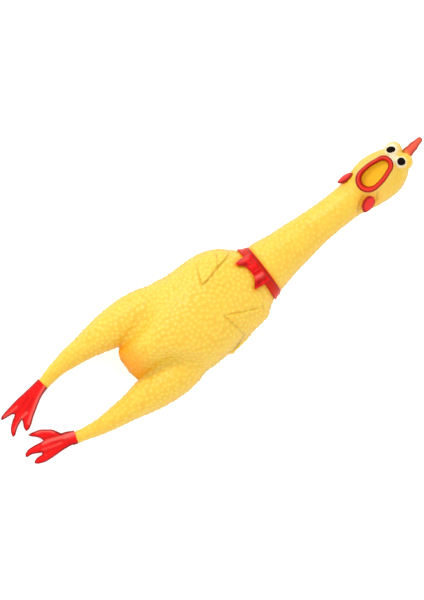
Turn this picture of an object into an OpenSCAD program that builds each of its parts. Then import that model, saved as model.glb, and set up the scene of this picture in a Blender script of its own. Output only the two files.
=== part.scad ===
// Squeaking rubber chicken, lying on its back. Millimetres.
// +X runs from the toes to the comb, +Y is the bird's right side, +Z is up, out of the belly.
// The origin is on the table, under the middle of the overall box.

/* [Skin] */
// Wall of the moulded rubber skin
skin_t = 1.6; // [1.2:0.1:2.2]
// Gap left between neighbouring moving sections
gap = 0.3; // [0.2:0.05:0.4]

/* [Collar and bow] */
// Length of the collar band along the neck
collar_w = 6; // [4:0.5:8]
// How far the collar stands out of the neck
collar_t = 1.4; // [0.8:0.1:2]
// Bow from the tip of one loop to the tip of the other
bow_span = 20; // [16:1:24]

/* [Head] */
// How far the head is rolled round the neck, towards the bird's right
head_turn = 11; // [0:1:25]
// Length of the open mouth, inside the beak
mouth_l = 20; // [18:0.2:22]
// Widest part of the open mouth
mouth_w = 10; // [8:0.2:11]
// Width of the red beak round the mouth
beak_w = 3.2; // [2:0.1:3.5]
// Comb from side to side
comb_t = 4.8; // [3:0.2:5]
// Radius of an eyeball's raised white
eye_r = 3.5; // [3:0.1:4]
// Radius of a pupil
pupil_r = 2.5; // [2:0.1:2.8]

/* [Screamer] */
// Outer radius of the screamer's housing
housing_r = 7; // [6:0.25:7.5]
// Length of the screamer's housing
housing_l = 18.5; // [17:0.5:19]
// Radius of the sound outlet
outlet_r = 3; // [2:0.25:3.5]
// Thickness of the reed
reed_t = 0.3; // [0.2:0.05:0.5]
// Free length of the reed
reed_l = 10; // [8:0.5:11]

/* [Legs] */
// How far the shanks swing sideways, towards the bird's right
leg_sway = 1.1; // [-2:0.1:2]
// Thickness of a toe near its tip
toe_t = 3.6; // [3:0.2:5]

/* [Belly] */
// Length of the part of the belly that is pressed in
panel_l = 54; // [40:2:60]
// Width of the part of the belly that is pressed in
panel_w = 30; // [20:1:34]

/* [Hidden] */

// Whole toy, from the longest toe to the comb's tip. Every x below is measured from the toes.
length = 310;
right = 1;
left = -1;

// The spine: x, y, z of its middle, half width, height above and below the middle, squareness.
// It runs from the tail through the torso and neck to the crown, and leans to the right above the collar.
SPINE = [
    [81.5, -0.6, 20.0, 5.0, 4.0, 4.0, 2.0],
    [83.0, -1.0, 20.0, 9.8, 8.4, 9.0, 2.0],
    [86.0, -0.8, 20.2, 11.4, 12.4, 13.4, 2.0],
    [92.0, -0.4, 20.6, 11.8, 17.2, 17.8, 2.1],
    [100.0, 0, 21.0, 12.6, 21.0, 20.8, 2.1],
    [108.0, 0, 21.0, 15.4, 24.2, 21.6, 2.2],
    [116.0, -0.5, 21.0, 21.8, 26.0, 21.7, 2.2],
    [125.0, -1.1, 21.0, 29.2, 26.6, 21.7, 2.2],
    [135.0, -1.2, 21.0, 30.2, 26.2, 21.7, 2.2],
    [145.0, -0.4, 21.0, 30.0, 24.6, 21.7, 2.2],
    [155.0, 0.0, 21.0, 29.2, 22.0, 21.6, 2.2],
    [163.0, -0.5, 20.8, 27.6, 19.4, 21.3, 2.1],
    [170.0, -1.5, 20.4, 25.2, 17.4, 20.2, 2.1],
    [176.0, -2.0, 19.8, 20.6, 16.2, 18.2, 2.0],
    [182.0, -2.6, 19.0, 16.7, 15.7, 16.6, 2.0],
    [188.0, -2.0, 18.2, 16.3, 15.0, 15.4, 2.0],
    [200.0, -1.3, 16.8, 14.1, 13.4, 13.6, 2.0],
    [212.0, -0.6, 15.6, 12.8, 12.1, 12.2, 2.0],
    [224.0, 0.0, 14.6, 11.3, 10.9, 11.0, 2.0],
    [236.0, 0.4, 13.9, 10.6, 10.4, 10.5, 2.0],
    [246.0, 0.7, 13.8, 10.5, 10.4, 10.6, 2.0],
    [252.0, 1.0, 14.0, 10.8, 11.0, 11.4, 2.0],
    [258.0, 1.2, 14.4, 11.9, 12.0, 12.6, 2.0],
    [264.0, 1.5, 14.7, 13.4, 12.9, 13.8, 2.0],
    [270.0, 1.9, 15.0, 14.4, 13.3, 14.6, 2.0],
    [276.0, 1.9, 15.0, 14.6, 13.2, 14.6, 2.0],
    [282.0, 1.9, 15.0, 13.7, 12.6, 13.6, 2.0],
    [288.0, 2.3, 15.2, 11.4, 11.0, 11.4, 2.0],
    [292.0, 2.7, 15.6, 8.4, 8.6, 8.6, 2.0],
    [295.0, 3.2, 16.0, 4.6, 5.2, 5.2, 2.0],
    [296.6, 3.4, 16.2, 1.8, 2.2, 2.2, 2.0],
];

// One leg, on the right and at its mean: x, y, z of its middle, half width, height above and below, squareness.
LEG = [
    [32.0, 19.0, 7.0, 3.8, 4.0, 4.0, 2],
    [37.0, 20.2, 7.9, 4.0, 4.4, 4.4, 2],
    [43.0, 21.5, 9.4, 4.6, 5.1, 5.1, 2],
    [49.0, 22.4, 10.7, 5.2, 5.8, 5.8, 2],
    [55.0, 22.8, 11.8, 6.1, 6.8, 6.8, 2],
    [61.0, 23.0, 12.8, 6.9, 7.8, 7.8, 2],
    [67.0, 23.1, 13.8, 7.7, 9.0, 9.0, 2],
    [73.0, 23.2, 14.8, 8.9, 10.3, 10.3, 2],
    [80.0, 23.1, 15.8, 10.4, 11.8, 11.8, 2],
    [88.0, 22.9, 16.8, 11.8, 13.0, 13.0, 2],
    [96.0, 22.8, 17.6, 12.4, 13.8, 13.8, 2],
    [106.0, 22.6, 18.4, 12.0, 14.0, 14.0, 2],
    [116.0, 22.3, 19.0, 10.6, 13.4, 13.4, 2],
    [126.0, 21.2, 19.6, 8.0, 11.0, 11.0, 2],
    [134.0, 20.0, 20.0, 4.0, 6.0, 6.0, 2],
];

// Both shanks swing a little to the right as the toy lies: fully below the knees, less and less up the thighs.
sway_from = 46;
sway_over = 60;
function leg_rows(side) = [
    for (row = LEG) row + side * [0, leg_sway * (1 - ease((row[0] - sway_from) / sway_over)), 0, 0, 0, 0, 0]
];

// Where the skin is divided, from the toes: each pair is one zone that bends.
ankle_flex = [34.5, 41];
knee_flex = [50, 58];
hip_flex = [72, 84];
neck_base_flex = [187.5, 199];
neck_mid_flex = [207, 218];
throat_flex = [228, 239];

spine_sides = 28;
inside_sides = 20;
neck_sides = 22;
head_sides = 24;
leg_sides = 16;
spine_step = 5;
inside_step = 6;
head_step = 4;
leg_step = 5;

// The part of the belly that is pressed in, and a height between it and the back.
panel_centre = [130, 0];
panel_floor_z = 30;

// Middle of the head, and the way it leans.
head_at = [274.6, 1.6, 15];
head_lean = 7;
tall = 60;

// ---------------------------------------------------------------- sections
function slope(rows, i) =
    let (a = max(i - 1, 0), b = min(i + 1, len(rows) - 1))
    (rows[b] - rows[a]) / (rows[b][0] - rows[a][0]);

function cubic(a, b, slope_a, slope_b, x) =
    let (d = b[0] - a[0], s = (x - a[0]) / d)
    (2 * s ^ 3 - 3 * s ^ 2 + 1) * a + (s ^ 3 - 2 * s ^ 2 + s) * d * slope_a
    + (3 * s ^ 2 - 2 * s ^ 3) * b + (s ^ 3 - s ^ 2) * d * slope_b;

function row_at(rows, x) =
    let (i = max([for (k = [0 : len(rows) - 2]) rows[k][0] <= x ? k : 0]))
    cubic(rows[i], rows[i + 1], slope(rows, i), slope(rows, i + 1), x);

function ease(t) = let (s = min(1, max(0, t))) s * s * (3 - 2 * s);

function signed_pow(v, p) = sign(v) * pow(abs(v), p);

function section(row, grow, sides) = [
    for (k = [0 : sides - 1])
    let (c = cos(360 * k / sides), s = sin(360 * k / sides), h = s > 0 ? row[4] : row[5])
    [row[0],
     row[1] + (row[3] + grow) * signed_pow(c, 2 / row[6]),
     row[2] + (h + grow) * signed_pow(s, 2 / row[6])]
];

function stations(from, to, step) =
    let (n = max(1, round((to - from) / step))) [for (i = [0 : n]) from + (to - from) * i / n];

// A closed solid through the rows' sections between two x, grown or shrunk all round.
module loft(rows, from, to, grow = 0, sides = spine_sides, step = spine_step) {
    xs = stations(from, to, step);
    n = len(xs);
    points = [for (x = xs) each section(row_at(rows, x), grow, sides)];
    walls = [
        for (i = [0 : n - 2], k = [0 : sides - 1])
        let (a = i * sides + k, b = i * sides + (k + 1) % sides)
        each [[a, a + sides, b], [b, a + sides, b + sides]]
    ];
    first = [for (k = [0 : sides - 1]) k];
    last = [for (k = [0 : sides - 1]) n * sides - 1 - k];
    polyhedron(points, concat([first], walls, [last]));
}

// One moulding: its surface is worked out as a single mesh, at its own size.
module moulded() {
    resize([0, 0, 0]) children();
}

// From toe coordinates to the part's own frame.
module placed() {
    translate([-length / 2, 0, 0]) children();
}

module mirrored(side) {
    scale([1, side, 1]) children();
}

module in_skin(colour = "gold") {
    color(colour) placed() moulded() children();
}

// A length of hollow skin between two x.
module tube(rows, from, to, sides, step) {
    difference() {
        loft(rows, from, to, 0, sides, step);
        loft(rows, from - 0.5, to + 0.5, -skin_t, sides, step);
    }
}

// ---------------------------------------------------------------- torso
thigh_end = LEG[len(LEG) - 1][0];

module torso_outside() {
    loft(SPINE, SPINE[0][0], neck_base_flex[0]);
    for (side = [right, left])
        mirrored(side) loft(leg_rows(side), hip_flex[1], thigh_end, 0, leg_sides, leg_step);
}

module torso_inside() {
    loft(SPINE, SPINE[0][0] + skin_t, neck_base_flex[0] + 0.5, -skin_t, inside_sides, inside_step);
    for (side = [right, left])
        mirrored(side)
            loft(leg_rows(side), hip_flex[1] - 0.5, thigh_end - skin_t, -skin_t, leg_sides, inside_step);
}

module torso_walls() {
    intersection() {
        union() {
            difference() {
                torso_outside();
                torso_inside();
            }
            // The back is thickened where it is pressed flat.
            intersection() {
                torso_outside();
                translate([100, -14, -2]) cube([68, 28, 2 + skin_t]);
            }
        }
        translate([0, -tall, 0]) cube([length, 2 * tall, 2 * tall]);
    }
}

// The outline of the pressed part of the belly, as an upright oval cutter.
module panel_cutter(grow) {
    translate([panel_centre[0], panel_centre[1], panel_floor_z])
        linear_extrude(tall) offset(grow) scale([panel_l / panel_w, 1]) circle(d = panel_w, $fn = 48);
}

module torso() {
    in_skin() difference() {
        torso_walls();
        panel_cutter(0);
    }
}

module belly_panel() {
    in_skin() intersection() {
        torso_walls();
        panel_cutter(-gap);
    }
}

// ---------------------------------------------------------------- wings
wing_t = 1.6;
wing_from = 132;
wing_to = 177;
WING = [[175, 20], [171.5, 16.4], [162, 13.8], [150.5, 11.8], [152, 19], [154, 27.4],
    [146, 30.2], [137.5, 31.6], [146, 40], [176, 40]];

module wing(side) {
    in_skin() difference() {
        intersection() {
            loft(SPINE, wing_from, wing_to, wing_t);
            translate([0, 0, 14]) mirrored(side) linear_extrude(tall) polygon(WING);
        }
        torso_outside();
    }
}

// ---------------------------------------------------------------- collar and bow
collar_from = 180;

module collar_ring(grow) {
    loft(SPINE, collar_from, collar_from + collar_w, grow, spine_sides, collar_w / 2);
}

module collar() {
    in_skin("red") difference() {
        collar_ring(collar_t);
        torso_outside();
    }
}

bow_at = [179.8, 0.4, 36.2];
bow_turn = -6;

module on_bow() {
    translate(bow_at) rotate([bow_turn, 0, 0]) children();
}

module bow_knot_shape() {
    on_bow() hull() for (x = [-1.6, 1.6], y = [-1.3, 1.3])
        translate([x, y, 0.4]) sphere(r = 2.1, $fn = 16);
}

// One loop of the bow, from the knot to its flared end.
module bow_loop(side) {
    end = bow_span / 2 - 1.4;
    on_bow() hull() {
        for (x = [-1.2, 1.4]) translate([x, side * 1.6, 0.4]) sphere(r = 1.4, $fn = 16);
        for (x = [-4.7, 2.2]) translate([x, side * end, -2.4]) sphere(r = 1.4, $fn = 16);
        translate([-1, side * end * 0.62, -0.2]) sphere(r = 2.2, $fn = 16);
    }
}

module bow_knot() {
    in_skin("red") difference() {
        bow_knot_shape();
        collar_ring(collar_t);
        torso_outside();
    }
}

module bow_loops() {
    in_skin("red") difference() {
        for (side = [right, left]) bow_loop(side);
        bow_knot_shape();
        collar_ring(collar_t);
        torso_outside();
    }
}

// ---------------------------------------------------------------- neck
module neck_part(from, to) {
    in_skin() tube(SPINE, from, to, neck_sides, 4);
}

// ---------------------------------------------------------------- head
// The head's own frame: x along it, y to its right, z out of its face.
module on_head() {
    translate(head_at) rotate([0, 0, head_lean]) rotate([-head_turn, 0, 0]) children();
}

brow_at = [18.1, 4.9, 6.4];
brow_r = 5.3;
muzzle_z = 15.6;

// An egg in the head's frame, wide at the end nearer the throat.
egg_at = [0.2, 0.5];
egg_tip = 0.62;
module egg(grow) {
    offset(grow, $fn = 24) translate(egg_at) hull() {
        translate([(mouth_w - mouth_l) / 2, 0]) circle(d = mouth_w, $fn = 24);
        translate([(mouth_l - mouth_w * egg_tip) / 2, 0]) circle(d = mouth_w * egg_tip, $fn = 16);
    }
}

module slab_of_egg(z, t, grow) {
    translate([0, 0, z]) linear_extrude(t) egg(grow);
}

module head_outside() {
    loft(SPINE, throat_flex[1], SPINE[len(SPINE) - 1][0], 0, head_sides, head_step);
    on_head() {
        for (side = [right, left])
            translate([brow_at[0], side * brow_at[1], brow_at[2]]) sphere(r = brow_r, $fn = 20);
        // The muzzle, which the beak stands on.
        hull() {
            slab_of_egg(muzzle_z - 1, 1, beak_w - 0.6);
            slab_of_egg(8, 1, beak_w + 2);
        }
    }
}

// The mouth's floor falls from the palate to the throat, where the sound comes out.
lining_t = 1.2;
throat_z = -4;
palate_z = 8;
module mouth_space(grow) {
    difference() {
        slab_of_egg(-12, tall, grow);
        hull() for (end = [[-14, throat_z], [14, palate_z]])
            translate([end[0], -tall / 2, end[1] - grow - tall]) cube([0.1, tall, tall]);
    }
}

// The throat is moulded thick here, with a round seat that grips the screamer.
seat_from = 4;
seat_w = 8;
seat_play = 0.05;
module screamer_grip() {
    intersection() {
        loft(SPINE, throat_flex[1], 262, -skin_t / 2, head_sides, head_step);
        on_screamer() difference() {
            translate([0, 0, seat_from]) cylinder(r = tall, h = seat_w);
            cylinder(r = housing_r + seat_play, h = tall, $fn = 48);
        }
    }
}

module head() {
    in_skin() {
        difference() {
            head_outside();
            loft(SPINE, throat_flex[1] - 0.5, SPINE[len(SPINE) - 1][0] - 2.4, -skin_t, inside_sides, head_step);
            on_head() slab_of_egg(6, muzzle_z - 7, skin_t - 0.6);
            on_head() mouth_space(lining_t);
        }
        screamer_grip();
    }
}

module mouth_lining() {
    color("orange") placed() moulded() difference() {
        on_head() difference() {
            intersection() {
                mouth_space(lining_t);
                translate([-tall / 2, -tall / 2, -tall + muzzle_z]) cube(tall);
            }
            mouth_space(0);
        }
        on_screamer() cylinder(r = outlet_r, h = housing_l + 6, $fn = 24);
    }
}

module beak() {
    color("red") placed() on_head() moulded() difference() {
        hull() {
            slab_of_egg(muzzle_z - 0.8, 0.4, beak_w - 0.2);
            slab_of_egg(muzzle_z + 0.6, 0.4, beak_w);
            slab_of_egg(muzzle_z + 2, 0.4, beak_w - 1.2);
        }
        slab_of_egg(muzzle_z - 3, 8, 0);
        slab_of_egg(muzzle_z - 10, 10, lining_t);
        slab_of_egg(muzzle_z - 2, 2, beak_w - 0.6);
    }
}

// Joins balls one after another: each row is x, y, z, radius.
module hull_chain(balls) {
    for (i = [0 : len(balls) - 2])
        hull() for (b = [balls[i], balls[i + 1]])
            translate([b[0], b[1], b[2]]) sphere(r = b[3], $fn = 16);
}

// A single fleshy spike, which stands up behind the brows.
module comb() {
    color("red") placed() moulded() difference() {
        on_head() hull_chain([
            [17, -1.3, 0.5, comb_t * 0.66],
            [25, -1, 1.2, comb_t * 0.58],
            [33.5, -0.6, 1.6, comb_t * 0.4]
        ]);
        head_outside();
    }
}

// The wattles lie on the throat, behind the corners of the mouth. Each is a drop that sweeps up the cheek.
wattle_at = [259.8, 1.3, 14.4];
wattle_half = [5.7, 3.8, 1.9];
wattle_out = 13;
wattle_lift = 38;
wattle_sweep = 26;
module wattle(side) {
    color("red") placed() moulded() difference() {
        translate(wattle_at) rotate([-head_turn, 0, head_lean]) mirrored(side)
            rotate([wattle_lift - 90, 0, 0]) translate([0, 0, wattle_out]) rotate(-wattle_sweep)
                scale(wattle_half) sphere(r = 1, $fn = 24);
        head_outside();
    }
}

// The eyes sit on the brows and look out of the face.
function toward(side) = [-0.18, side * 0.03, 0.98];
module on_brow(side, out) {
    translate([brow_at[0], side * brow_at[1], brow_at[2]] + out * toward(side)) children();
}

module eye_shape(side) {
    on_head() on_brow(side, 3.0) sphere(r = eye_r, $fn = 24);
}

module eye(side) {
    color("white") placed() moulded() difference() {
        eye_shape(side);
        head_outside();
        on_head() slab_of_egg(muzzle_z - 2, 6, beak_w + 0.2);
    }
}

module pupil(side) {
    color("black") placed() moulded() difference() {
        on_head() on_brow(side, 4.6) sphere(r = pupil_r, $fn = 20);
        eye_shape(side);
        head_outside();
    }
}

// ---------------------------------------------------------------- screamer
// A tube in the throat. Air from the body lifts the reed off its seat and leaves by the outlet.
screamer_at = [241.5, 0.9, 13.9];
housing_wall = 1.2;
plug_l = 3;
clamp_l = 3;
flange_r = 8.2;
flange_t = 1.4;

// The screamer's own z runs along the neck, towards the mouth.
module on_screamer() {
    translate(screamer_at) rotate([-head_turn, 0, 0]) rotate([0, 90, 0]) children();
}

module screamer_housing() {
    color("white") placed() on_screamer() difference() {
        union() {
            cylinder(r = housing_r, h = housing_l, $fn = 48);
            cylinder(r = flange_r, h = flange_t, $fn = 48);
        }
        translate([0, 0, -1]) cylinder(r = housing_r - housing_wall, h = housing_l, $fn = 48);
        cylinder(r = outlet_r, h = housing_l + 1, $fn = 32);
    }
}

// A plug with a half-round trough. The reed lies over the trough's flat face.
trough_r = 3.6;
module reed_seat() {
    color("ivory") placed() on_screamer() difference() {
        union() {
            cylinder(r = housing_r - housing_wall, h = plug_l, $fn = 48);
            intersection() {
                cylinder(r = trough_r, h = plug_l + reed_l + 2, $fn = 32);
                translate([0, -trough_r, 0]) cube([trough_r, 2 * trough_r, tall]);
            }
        }
        intersection() {
            translate([0, 0, -1]) cylinder(r = trough_r - 1.1, h = plug_l + reed_l + 1, $fn = 32);
            translate([-0.5, -trough_r, -1]) cube([trough_r, 2 * trough_r, tall]);
        }
    }
}

reed_w = 5.4;
reed_lift = 0.12;
module reed() {
    color("lightskyblue") placed() on_screamer()
        translate([-reed_lift - reed_t, -reed_w / 2, plug_l + 0.2]) cube([reed_t, reed_w, reed_l]);
}

// Holds the root of the reed down on its seat.
module reed_clamp() {
    color("ivory") placed() on_screamer() difference() {
        intersection() {
            translate([-tall, -tall / 2, plug_l]) cube([tall, tall, clamp_l]);
            cylinder(r = housing_r - housing_wall, h = plug_l + clamp_l, $fn = 48);
        }
        translate([-2 * reed_lift - reed_t, -reed_w / 2 - 0.15, plug_l - 1]) cube([tall, reed_w + 0.3, tall]);
    }
}

// ---------------------------------------------------------------- legs and feet
module leg_part(side, from, to) {
    in_skin() mirrored(side) tube(leg_rows(side), from, to, leg_sides, leg_step);
}

// A toe: how far it turns in from straight ahead, and its length from the ankle.
TOES_RIGHT = [[4, 32], [24, 35.2], [35, 28.3]];
TOES_LEFT = [[4.5, 31], [15, 34], [36, 29.4]];
palm_share = 0.72;

function toe_at(ankle, toe, share) = [
    ankle[0] - toe[1] * share * cos(toe[0]),
    ankle[1] - toe[1] * share * sin(toe[0]),
    toe_t / 2 + (ankle[2] - toe_t / 2) * (1 - min(1, share / 0.8))
];

module ball(at, r) {
    translate(at) sphere(r = r, $fn = 14);
}

// The end of the shin, then the toes and the webs between them.
module foot(side, toes) {
    rows = leg_rows(side);
    ankle = row_at(rows, ankle_flex[0]);
    knuckle_r = toe_t * 0.62;
    tip_r = toe_t * 0.36;
    color("red") placed() moulded() mirrored(side) intersection() {
        union() {
            hull() {
                loft(rows, ankle_flex[0] - 1.5, ankle_flex[0] - gap, 0.2, 14, 1);
                for (toe = toes) ball(toe_at(ankle, toe, 0.3), 3);
            }
            for (i = [0, 1])
                hull() {
                    ball(toe_at(ankle, toes[0], 0.2), 2.8);
                    ball(toe_at(ankle, toes[i], palm_share - 0.08), 1.5);
                    ball(toe_at(ankle, toes[i + 1], palm_share - 0.08), 1.5);
                }
            for (toe = toes) {
                hull() {
                    ball(toe_at(ankle, toe, 0.3), 2.6);
                    ball(toe_at(ankle, toe, palm_share), knuckle_r);
                }
                hull() {
                    ball(toe_at(ankle, toe, palm_share), knuckle_r);
                    ball(toe_at(ankle, toe, 1), tip_r);
                }
            }
        }
        translate([-10, -tall, 0]) cube([length, 2 * tall, tall]);
    }
}

// ---------------------------------------------------------------- parts
torso();
belly_panel();
wing(right);  // wing_right
wing(left);  // wing_left
collar();
bow_knot();
bow_loops();
neck_part(neck_base_flex[0], neck_base_flex[1] - gap);
neck_part(neck_base_flex[1], neck_mid_flex[0]);  // neck_lower
neck_part(neck_mid_flex[0], neck_mid_flex[1] - gap);
neck_part(neck_mid_flex[1], throat_flex[0]);  // neck_upper
neck_part(throat_flex[0], throat_flex[1] - gap);
head();
mouth_lining();
beak();
comb();
wattle(right);  // wattle_right
wattle(left);  // wattle_left
eye(right);  // eye_right
eye(left);  // eye_left
pupil(right);  // pupil_right
pupil(left);  // pupil_left
screamer_housing();
reed_seat();
reed_clamp();
reed();
leg_part(right, hip_flex[0] + gap, hip_flex[1]);  // hip_flex_right
leg_part(right, knee_flex[1], hip_flex[0]);  // leg_upper_right
leg_part(right, knee_flex[0] + gap, knee_flex[1]);  // knee_flex_right
leg_part(right, ankle_flex[1], knee_flex[0]);  // leg_lower_right
leg_part(right, ankle_flex[0], ankle_flex[1]);  // ankle_flex_right
foot(right, TOES_RIGHT);  // foot_right
leg_part(left, hip_flex[0] + gap, hip_flex[1]);  // hip_flex_left
leg_part(left, knee_flex[1], hip_flex[0]);  // leg_upper_left
leg_part(left, knee_flex[0] + gap, knee_flex[1]);  // knee_flex_left
leg_part(left, ankle_flex[1], knee_flex[0]);  // leg_lower_left
leg_part(left, ankle_flex[0], ankle_flex[1]);  // ankle_flex_left
foot(left, TOES_LEFT);  // foot_left
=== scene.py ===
"""Looks of the squeaking rubber chicken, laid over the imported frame.

Shapes are worked out in the CAD's own millimetres, measured from the toes, and turned into metres when a
mesh is made. The skin is one surface: it is found as the zero level of a distance field, pimpled, and then
divided where the toy's sections meet, so that neighbouring pieces share their edges.
"""

import math

import bpy
import numpy as np
import openvdb
from mathutils import Matrix, Vector
from mathutils.kdtree import KDTree

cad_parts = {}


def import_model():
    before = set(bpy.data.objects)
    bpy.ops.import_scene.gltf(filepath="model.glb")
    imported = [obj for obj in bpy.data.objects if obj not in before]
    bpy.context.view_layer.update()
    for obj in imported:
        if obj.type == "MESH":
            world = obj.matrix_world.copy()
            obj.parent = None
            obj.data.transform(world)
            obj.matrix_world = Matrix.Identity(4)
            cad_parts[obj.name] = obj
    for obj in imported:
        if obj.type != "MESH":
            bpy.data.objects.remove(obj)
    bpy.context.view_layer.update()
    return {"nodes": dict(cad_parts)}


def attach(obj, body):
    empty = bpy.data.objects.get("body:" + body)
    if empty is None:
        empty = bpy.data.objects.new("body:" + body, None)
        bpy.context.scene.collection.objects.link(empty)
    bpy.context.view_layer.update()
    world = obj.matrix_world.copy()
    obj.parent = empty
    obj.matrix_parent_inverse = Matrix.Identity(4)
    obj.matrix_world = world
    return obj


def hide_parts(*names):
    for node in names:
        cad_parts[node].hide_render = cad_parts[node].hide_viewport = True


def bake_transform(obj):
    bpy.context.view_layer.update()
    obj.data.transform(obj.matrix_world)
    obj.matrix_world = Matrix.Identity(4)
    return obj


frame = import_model()

LENGTH = 310.0
MM = 0.001
SIDES = {"right": 1, "left": -1}

# x, y, z of the middle, half width, height above and below it, squareness of the section.
SPINE = np.array([
    [81.5, -0.6, 20.0, 5.0, 4.0, 4.0, 2.0],
    [83.0, -1.0, 20.0, 9.8, 8.4, 9.0, 2.0],
    [86.0, -0.8, 20.2, 11.4, 12.4, 13.4, 2.0],
    [92.0, -0.4, 20.6, 11.8, 17.2, 17.8, 2.1],
    [100.0, 0, 21.0, 12.6, 21.0, 20.8, 2.1],
    [108.0, 0, 21.0, 15.4, 24.2, 21.6, 2.2],
    [116.0, -0.5, 21.0, 21.8, 26.0, 21.7, 2.2],
    [125.0, -1.1, 21.0, 28.8, 26.6, 21.7, 2.2],
    [135.0, -1.2, 21.0, 30.2, 26.2, 21.7, 2.2],
    [145.0, -0.4, 21.0, 30.0, 24.6, 21.7, 2.2],
    [155.0, 0.0, 21.0, 29.2, 22.0, 21.6, 2.2],
    [163.0, -0.5, 20.8, 27.6, 19.4, 21.3, 2.1],
    [170.0, -1.5, 20.4, 25.2, 17.4, 20.2, 2.1],
    [176.0, -2.0, 19.8, 20.6, 16.2, 18.2, 2.0],
    [182.0, -2.6, 19.0, 16.7, 15.7, 16.6, 2.0],
    [188.0, -2.0, 18.2, 16.3, 15.0, 15.4, 2.0],
    [200.0, -1.3, 16.8, 14.1, 13.4, 13.6, 2.0],
    [212.0, -0.6, 15.6, 12.8, 12.1, 12.2, 2.0],
    [224.0, 0.0, 14.6, 11.3, 10.9, 11.0, 2.0],
    [236.0, 0.4, 13.9, 10.6, 10.4, 10.5, 2.0],
    [246.0, 0.7, 13.8, 10.5, 10.4, 10.6, 2.0],
    [252.0, 1.0, 14.0, 10.8, 11.0, 11.4, 2.0],
    [258.0, 1.2, 14.4, 11.9, 12.0, 12.6, 2.0],
    [264.0, 1.5, 14.7, 13.4, 12.9, 13.8, 2.0],
    [270.0, 1.9, 15.0, 14.4, 13.3, 14.6, 2.0],
    [276.0, 1.9, 15.0, 14.6, 13.2, 14.6, 2.0],
    [282.0, 1.9, 15.0, 13.7, 12.6, 13.6, 2.0],
    [288.0, 2.3, 15.2, 11.4, 11.0, 11.4, 2.0],
    [292.0, 2.7, 15.6, 8.4, 8.6, 8.6, 2.0],
    [295.0, 3.2, 16.0, 4.6, 5.2, 5.2, 2.0],
    [296.6, 3.4, 16.2, 1.8, 2.2, 2.2, 2.0],
])
LEG = np.array([
    [28.0, 18.0, 6.2, 3.6, 3.6, 3.6, 2],
    [32.0, 19.0, 7.0, 3.8, 4.0, 4.0, 2],
    [37.0, 20.2, 7.9, 4.0, 4.4, 4.4, 2],
    [43.0, 21.5, 9.4, 4.6, 5.1, 5.1, 2],
    [49.0, 22.4, 10.7, 5.2, 5.8, 5.8, 2],
    [55.0, 22.8, 11.8, 6.1, 6.8, 6.8, 2],
    [61.0, 23.0, 12.8, 6.9, 7.8, 7.8, 2],
    [67.0, 23.1, 13.8, 7.7, 9.0, 9.0, 2],
    [73.0, 23.2, 14.8, 8.9, 10.3, 10.3, 2],
    [80.0, 23.1, 15.8, 10.4, 11.8, 11.8, 2],
    [88.0, 22.9, 16.8, 11.8, 13.0, 13.0, 2],
    [96.0, 22.8, 17.6, 12.4, 13.8, 13.8, 2],
    [106.0, 22.6, 18.4, 12.4, 14.0, 14.0, 2],
    [116.0, 22.3, 19.0, 10.8, 13.4, 13.4, 2],
    [126.0, 21.2, 19.6, 7.4, 11.0, 11.0, 2],
    [134.0, 20.0, 20.0, 4.0, 6.0, 6.0, 2],
])
LEG_SWAY = 1.1
SWAY_FROM, SWAY_OVER = 46, 60

# The head's own frame: its middle, its lean in the table's plane and its roll round the neck.
HEAD_AT = np.array([274.6, 1.6, 15.0])
HEAD_LEAN = math.radians(7)
HEAD_TURN = math.radians(11)
# The mouth is an egg: x and y of its wide end, its radius there, how far off its narrow end is, the radius
# there and how far its sides bulge. The beak's middle line is another egg.
MOUTH = (-4.75, 0.6, 4.7, 12.3, 2.75, 0.75)
BEAK_LINE = (-5.4, 0.5, 6.1, 12.7, 4.4, 1.0)
MUZZLE_Z = 15.6
BEAK_W = 3.1
# How far the muzzle reaches out of the mouth's outline, at heights in the head's frame.
MUZZLE_HEIGHTS = [-2, 5, 10, MUZZLE_Z - 0.4]
MUZZLE_REACH = [-7, BEAK_W + 1.6, BEAK_W + 1.6, BEAK_W + 0.2]
MUZZLE_BLEND = 3.0
# The right brow's middle in the head's frame; the left one mirrors it.
BROW = np.array([18.1, 4.9, 6.4])
BROW_R = 5.3
BROW_BLEND = 2.2
# Each pupil: x, y, half length, half width and turn.
PUPILS = {
    "right": (17.2, 5.3, 2.95, 2.0, math.radians(-36)),
    "left": (16.9, -4.6, 2.65, 2.5, math.radians(-60)),
}
# The pale ground round each pupil: how far it is shifted from the pupil, its radius and how widely it fades.
EYE_GROUNDS = {"right": (0.3, 6.0, 4.4), "left": (-0.4, 4.5, 2.4)}

# Where one piece of skin ends and the next starts.
SHIN_END = 45.5
KNEE_END = 65.0
HIP_END = 84.4
BELLY_HALF = 12.2
BELLY_Z = 36.0
NECK_BASE = 186.8
NECK_MIDDLE = 203.0
THROAT = 222.5
HEAD = 243.0


# ---------------------------------------------------------------- fields
def rows_at(rows, x):
    """The rows' values at x, along the same cubic that the CAD's sections follow."""
    knots = rows[:, 0]
    slope = np.empty_like(rows)
    slope[1:-1] = (rows[2:] - rows[:-2]) / (knots[2:] - knots[:-2])[:, None]
    slope[0] = (rows[1] - rows[0]) / (knots[1] - knots[0])
    slope[-1] = (rows[-1] - rows[-2]) / (knots[-1] - knots[-2])
    x = np.clip(x, knots[0], knots[-1])
    i = np.clip(np.searchsorted(knots, x, side="right") - 1, 0, len(rows) - 2)
    gap = (knots[i + 1] - knots[i])[..., None]
    s = (x - knots[i])[..., None] / gap
    return (
        (2 * s**3 - 3 * s**2 + 1) * rows[i]
        + (s**3 - 2 * s**2 + s) * gap * slope[i]
        + (3 * s**2 - 2 * s**3) * rows[i + 1]
        + (s**3 - s**2) * gap * slope[i + 1]
    )


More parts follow.
